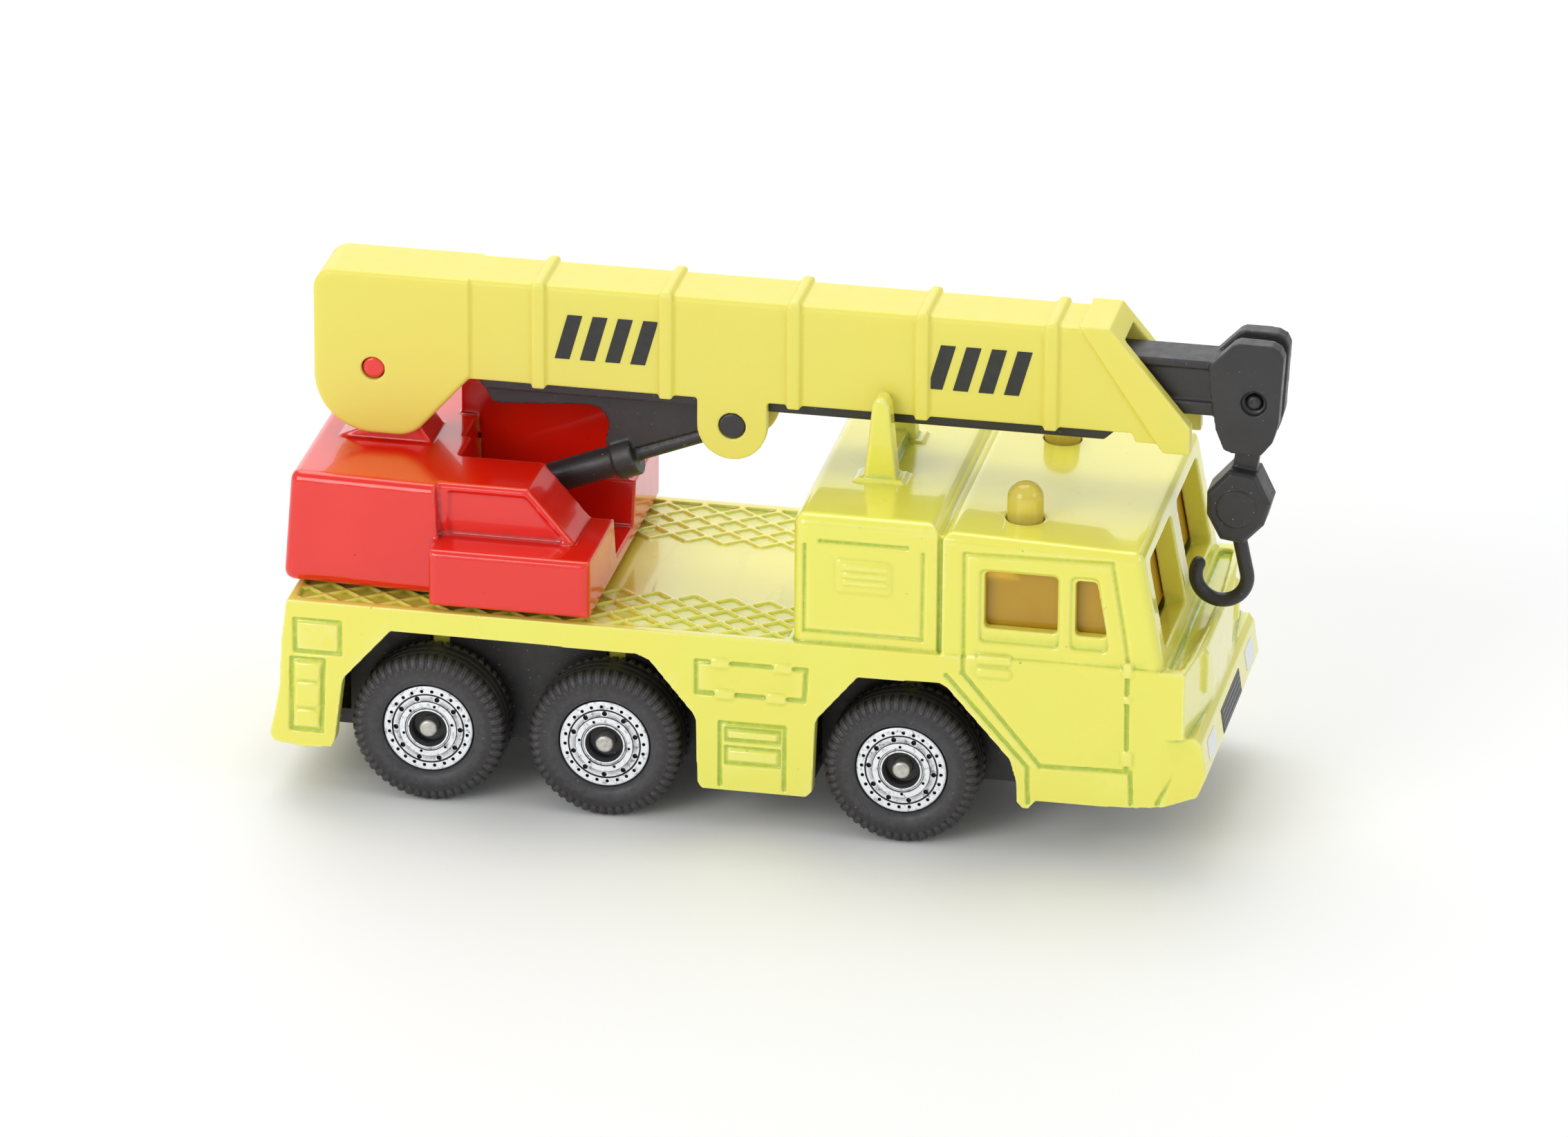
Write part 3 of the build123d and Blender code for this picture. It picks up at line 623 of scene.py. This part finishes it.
# tyres: spun section, radius and distance from the middle plane, then lugs raised on both shoulders
tyreShape = {
    "lugs": 52, "stepsPerLug": 10, "lugHalf": 0.2, "lugRound": 5.08, "lugHeight": 0.09, "lugRamp": 0.09,
    "lugFoot": 0.05, "treadHalf": 1.0, "grooveDepth": 0.07, "grooveWidth": 0.13, "grooveAt": 0.1,
    "stepLength": 0.09, "denseBelow": 0.3, "spread": 5, "reach": 0.03, "quiet": 0.004,
    "section": [
        (3.53, 1.9), (3.62, 2.08), (4.4, 2.14), (4.95, 2.1), (5.2, 2.04), (5.45, 1.94), (5.68, 1.76),
        (5.82, 1.52), (5.87, 1.25), (5.87, 0.9), (5.8, 0.86), (5.8, 0.74), (5.87, 0.7), (5.87, 0.3),
        (5.87, 0.08), (5.8, 0.04), (5.8, -0.06), (5.87, -0.1), (5.87, -0.4), (5.87, -0.7), (5.8, -0.74),
        (5.8, -0.86), (5.87, -0.9), (5.87, -1.25), (5.82, -1.52), (5.68, -1.74), (5.45, -1.9), (5.3, -1.96),
        (5.15, -2.0), (5.0, -2.03), (4.85, -2.05), (4.5, -2.08), (4.2, -2.06), (3.95, -2.0), (3.75, -1.88),
        (3.62, -1.72), (3.53, -1.5),
    ],
}
tyreLow, tyreHigh = boxOf("rear_right_tyre")
wheelMiddle = (tyreLow[1] + tyreHigh[1]) / 2


def spinSection(section, steps):
    # closed section turned once about the Y axis
    bm = bmesh.new()
    ring = [bm.verts.new((radius, wheelMiddle + y, 0.0)) for radius, y in section]
    edges = [bm.edges.new((ring[i], ring[(i + 1) % len(ring)])) for i in range(len(ring))]
    bmesh.ops.spin(bm, geom=ring + edges, axis=(0, 1, 0), cent=(0, 0, 0), steps=steps,
                   angle=math.tau, use_merge=True)
    bmesh.ops.remove_doubles(bm, verts=bm.verts[:], dist=0.0005)
    bmesh.ops.recalc_face_normals(bm, faces=bm.faces[:])
    return bm


def densify(section, length, low):
    # extra points on the stretches beyond a radius, where the lugs stand
    points = []
    for i, start in enumerate(section):
        end = section[(i + 1) % len(section)]
        outer = min(start[0], end[0]) > low
        parts = max(1, int(math.dist(start, end) / length)) if outer else 1
        for j in range(parts):
            share = j / parts
            points.append(tuple(a + (b - a) * share for a, b in zip(start, end)))
    return points


def tyreMesh(shape):
    lugs = shape["lugs"]
    section = densify(shape["section"], shape["stepLength"], shape["lugRound"] - shape["denseBelow"])
    bm = spinSection(section, lugs * shape["stepsPerLug"])
    bm.normal_update()
    moves = []
    half = shape["lugHalf"]
    for vert in bm.verts:
        radius = math.hypot(vert.co.x, vert.co.z)
        if radius < shape["lugRound"] - shape["lugFoot"] or abs(vert.co.y - wheelMiddle) < shape["treadHalf"]:
            continue
        turn = (math.atan2(vert.co.z, vert.co.x) / math.tau * lugs) % 1.0
        across = abs(turn - 0.5) * math.tau / lugs * radius
        rise = radius - (shape["lugRound"] + half)
        far = across - half if rise > 0 else math.hypot(across, rise) - half
        share = min(max(0.5 - far / shape["lugRamp"], 0.0), 1.0)
        ring = max(0.0, 1.0 - abs(far - shape["grooveAt"]) / shape["grooveWidth"])
        lift = shape["lugHeight"] * share - shape["grooveDepth"] * ring * (1.0 - share)
        moves.append((vert, vert.normal.copy() * lift))
    for vert, move in moves:
        vert.co += move
    return bm


def wheelFrame(side, x, z, spin):
    # from the shared wheel on the Y axis, outer face towards -Y, to its place; the far side is mirrored
    flip = Matrix.Diagonal((1.0, -1.0, 1.0, 1.0)) if side > 0 else Matrix.Identity(4)
    return Matrix.Translation(Vector((x, 0.0, z))) @ flip @ Matrix.Rotation(spin, 4, "Y")


# rims: spun section as on the tyres, rings of holes as (count, ring radius, hole radius, start angle)
rimShape = {
    "steps": 96, "holeRings": [(24, 3.05, 0.14, 0.0), (10, 2.5, 0.205, 0.13), (6, 1.93, 0.12, 0.35)],
    "holeY": -1.7, "holeDepth": 0.3, "holeSides": 14, "printFacing": -0.8, "printY": -1.6, "printFrom": 1.5,
    "spread": 2, "reach": 0.06,
    "section": [
        (0.73, 1.9), (3.48, 1.9), (3.48, -1.5), (3.44, -1.62), (3.36, -1.67), (2.84, -1.67), (2.79, -1.58),
        (2.74, -1.58), (2.7, -1.66), (2.26, -1.7), (2.21, -1.79), (1.8, -1.79), (1.74, -1.7), (1.66, -1.7),
        (1.6, -1.76), (1.48, -1.76), (1.4, -1.62), (1.3, -1.45), (1.26, -0.8), (0.73, -0.7),
    ],
}


def rimObject(shape):
    bm = spinSection(shape["section"], shape["steps"])
    base = placeMesh("rimBlank", bm)
    cutters = bmesh.new()
    for count, ring, radius, start in shape["holeRings"]:
        for i in range(count):
            angle = start + math.tau * i / count
            place = (ring * math.cos(angle), wheelMiddle + shape["holeY"], ring * math.sin(angle))
            addRod(cutters, place, radius, 2 * shape["holeDepth"], "Y", shape["holeSides"])
    holes = placeMesh("rimHoles", cutters)
    cut = base.modifiers.new("holes", "BOOLEAN")
    cut.object = holes
    cut.operation = "DIFFERENCE"
    cut.solver = "EXACT"
    bakeModifiers(base)
    bpy.data.objects.remove(holes)
    return base


def paintRim(mesh, shape):
    # silver goes on what faces outwards beyond the dark middle, not into the holes
    for face in mesh.polygons:
        centre = face.center / mm
        radius = math.hypot(centre.x, centre.z)
        faces = face.normal.y < shape["printFacing"] and centre.y < wheelMiddle + shape["printY"]
        face.material_index = 1 if faces and radius > shape["printFrom"] else 0
        face.use_smooth = False


wheelSpins = {"rear": 0.1, "middle": 0.45, "front": 0.83}
farSideTurn = 0.3
tyreBlank = placeMesh("tyreBlank", tyreMesh(tyreShape))
writeRelief(tyreBlank, tyreShape["spread"], tyreShape["reach"], tyreShape["quiet"])
rimBlank = rimObject(rimShape)
paintRim(rimBlank.data, rimShape)
writeRelief(rimBlank, rimShape["spread"], rimShape["reach"])
wheelParts = ((tyreBlank, "tyre", "tyre_rubber", [tyreRubber]),
              (rimBlank, "rim", "rim_plastic", [blackMoulding, rimSilver]))
for place, spin in wheelSpins.items():
    low, high = boxOf(place + "_axle")
    x = (low[0] + high[0]) / 2
    z = (low[2] + high[2]) / 2
    for hand, side in (("right", -1), ("left", 1)):
        turn = wheelFrame(side, x, z, spin + (farSideTurn if side > 0 else 0.0))
        turn.translation *= mm
        for blank, label, slot, looks in wheelParts:
            mesh = blank.data.copy()
            mesh.transform(turn)
            if side > 0:
                mesh.flip_normals()
            piece = bpy.data.objects.new(f"{place}{hand.capitalize()}{label.capitalize()}", mesh)
            bpy.context.scene.collection.objects.link(piece)
            finishPiece(piece, place + "_wheels", looks, [f"{place}_{hand}_{label}"])
bpy.data.objects.remove(tyreBlank)
bpy.data.objects.remove(rimBlank)
print("wheels made")


# plain bars printed on both sides of the boom; X and Z are counted from its rear end and underside
boomMarks = {
    "inset": 0.3, "thickness": 0.03, "lean": 0.28, "starts": (18.75, 47.45), "heights": (7.35, 10.95),
    "bars": 4, "barWidth": 1.15, "pitch": 1.95, "bevel": 0.01,
}


def makeMarks(setup):
    bm = bmesh.new()
    boomLow, boomHigh = boxOf("main_boom")
    faceY = boomHigh[1] - setup["inset"]
    lowZ, highZ = (boomLow[2] + height for height in setup["heights"])
    half = setup["thickness"]
    shear = Matrix.Identity(4)
    shear[0][2] = setup["lean"]
    for side in (-1, 1):
        for start in setup["starts"]:
            for i in range(setup["bars"]):
                x = boomLow[0] + start + i * setup["pitch"]
                y = side * faceY
                verts = addBlock(bm, (x, y - half, lowZ), (x + setup["barWidth"], y + half, highZ))
                foot = Matrix.Translation(Vector((x, y, lowZ)))
                bmesh.ops.transform(bm, matrix=foot @ shear @ foot.inverted(), verts=verts)
    bmesh.ops.bevel(bm, geom=bm.edges[:], offset=setup["bevel"], affect="EDGES", segments=1,
                    profile=0.5, material=-1)
    return placeMesh("boomBars", bm, smooth=False)


finishPiece(makeMarks(boomMarks), "boom", [markInk])

# lamps and grille printed on the slanted bumper, which leans back from its lower edge
bumperPrint = {
    "slope": math.radians(8.7), "footZ": 7.6, "thickness": 0.04,
    "lampY": (7.0, 10.3), "lampZ": (8.0, 9.75), "lampCorner": 0.35, "cornerSteps": 4,
    "grilleY": 4.1, "grilleZ": (7.7, 9.6), "bars": 4, "barY": 3.9, "barZ": (7.85, 8.08), "barPitch": 0.44,
    "barProud": 0.03,
}


def bumperPlate(bm, setup, spanY, spanZ, proud=0.0):
    # flat plate that lies on the slanted bumper face
    rise = (spanZ[0] + spanZ[1]) / 2 - setup["footZ"]
    x = bodyHigh[0] - rise * math.tan(setup["slope"]) + proud
    half = setup["thickness"]
    lean = Matrix.Rotation(-setup["slope"], 4, "Y")
    return addBlock(bm, (x - half, spanY[0], spanZ[0]), (x + half, spanY[1], spanZ[1]), lean)


def makeLamps(setup):
    bm = bmesh.new()
    for side in (-1, 1):
        bumperPlate(bm, setup, sorted(side * y for y in setup["lampY"]), setup["lampZ"])
    # only the short edges through the plates are rounded
    corners = [edge for edge in bm.edges if edge.calc_length() < 3 * setup["thickness"]]
    bmesh.ops.bevel(bm, geom=corners, offset=setup["lampCorner"], affect="EDGES",
                    segments=setup["cornerSteps"], profile=0.5, material=-1)
    return placeMesh("printedLamps", bm, smooth=False)


def makeGrille(setup):
    bm = bmesh.new()
    bumperPlate(bm, setup, (-setup["grilleY"], setup["grilleY"]), setup["grilleZ"])
    for i in range(setup["bars"]):
        spanZ = [z + i * setup["barPitch"] for z in setup["barZ"]]
        bumperPlate(bm, setup, (-setup["barY"], setup["barY"]), spanZ, setup["barProud"])
    return placeMesh("printedGrille", bm, smooth=False)


finishPiece(makeLamps(bumperPrint), "truck_body", [lampInk])
finishPiece(makeGrille(bumperPrint), "truck_body", [grilleInk])
print("prints made")

# what stays as the CAD made it
keptNodes = {
    "base_plate": blackMoulding, "base_rivets": steelWire, "glazing_insert": amber, "turret_rivet": steelWire,
    "hook_pin": blackedSteel, "rear_axle": steelWire, "middle_axle": steelWire, "front_axle": steelWire,
}
for node, material in keptNodes.items():
    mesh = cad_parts[node].data
    for i in range(len(mesh.materials)):
        mesh.materials[i] = material
